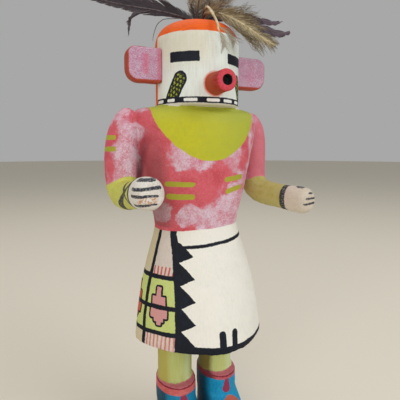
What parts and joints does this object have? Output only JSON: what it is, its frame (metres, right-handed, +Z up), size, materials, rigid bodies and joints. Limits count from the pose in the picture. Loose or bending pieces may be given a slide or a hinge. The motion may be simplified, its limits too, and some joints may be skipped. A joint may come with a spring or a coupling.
{
  "type": "kachina doll",
  "caption": "Carved and painted wooden kachina doll with case mask, snout, side ears, painted kilt and boots, crown feathers and a low wooden base.",
  "frame": {"origin": "middle of the figure's axis on the underside of the base", "axes": "+Z up along the figure, the doll faces -Y and its own left hand is at +X"},
  "size_m": [0.1293, 0.0753, 0.3134],
  "materials": {
    "base_wood": "bare planed cottonwood, waxed thin",
    "figure_paint": "matt poster paint over a white ground on carved cottonwood, worn thin",
    "snout_paint": "red and orange paint on a turned wooden plug, black inside the bore",
    "ear_paint": "pink speckled paint with a red rim on a flat wooden slab",
    "feather_dark": "dark brown-black feather with a purple-grey sheen",
    "feather_tan": "soft buff and grey-brown downy feather",
    "feather_pale": "pale quill with a little grey down"
  },
  "bodies": {
    "root": {"base": "base_wood", "figure": "figure_paint", "snout": "snout_paint", "ear_right": "ear_paint", "ear_left": "ear_paint", "feather_dark": "feather_dark", "feather_purple": "feather_dark", "feather_buff": "feather_tan", "feather_grey": "feather_tan", "feather_tan": "feather_tan", "feather_quill": "feather_pale"}
  },
  "joints": []
}
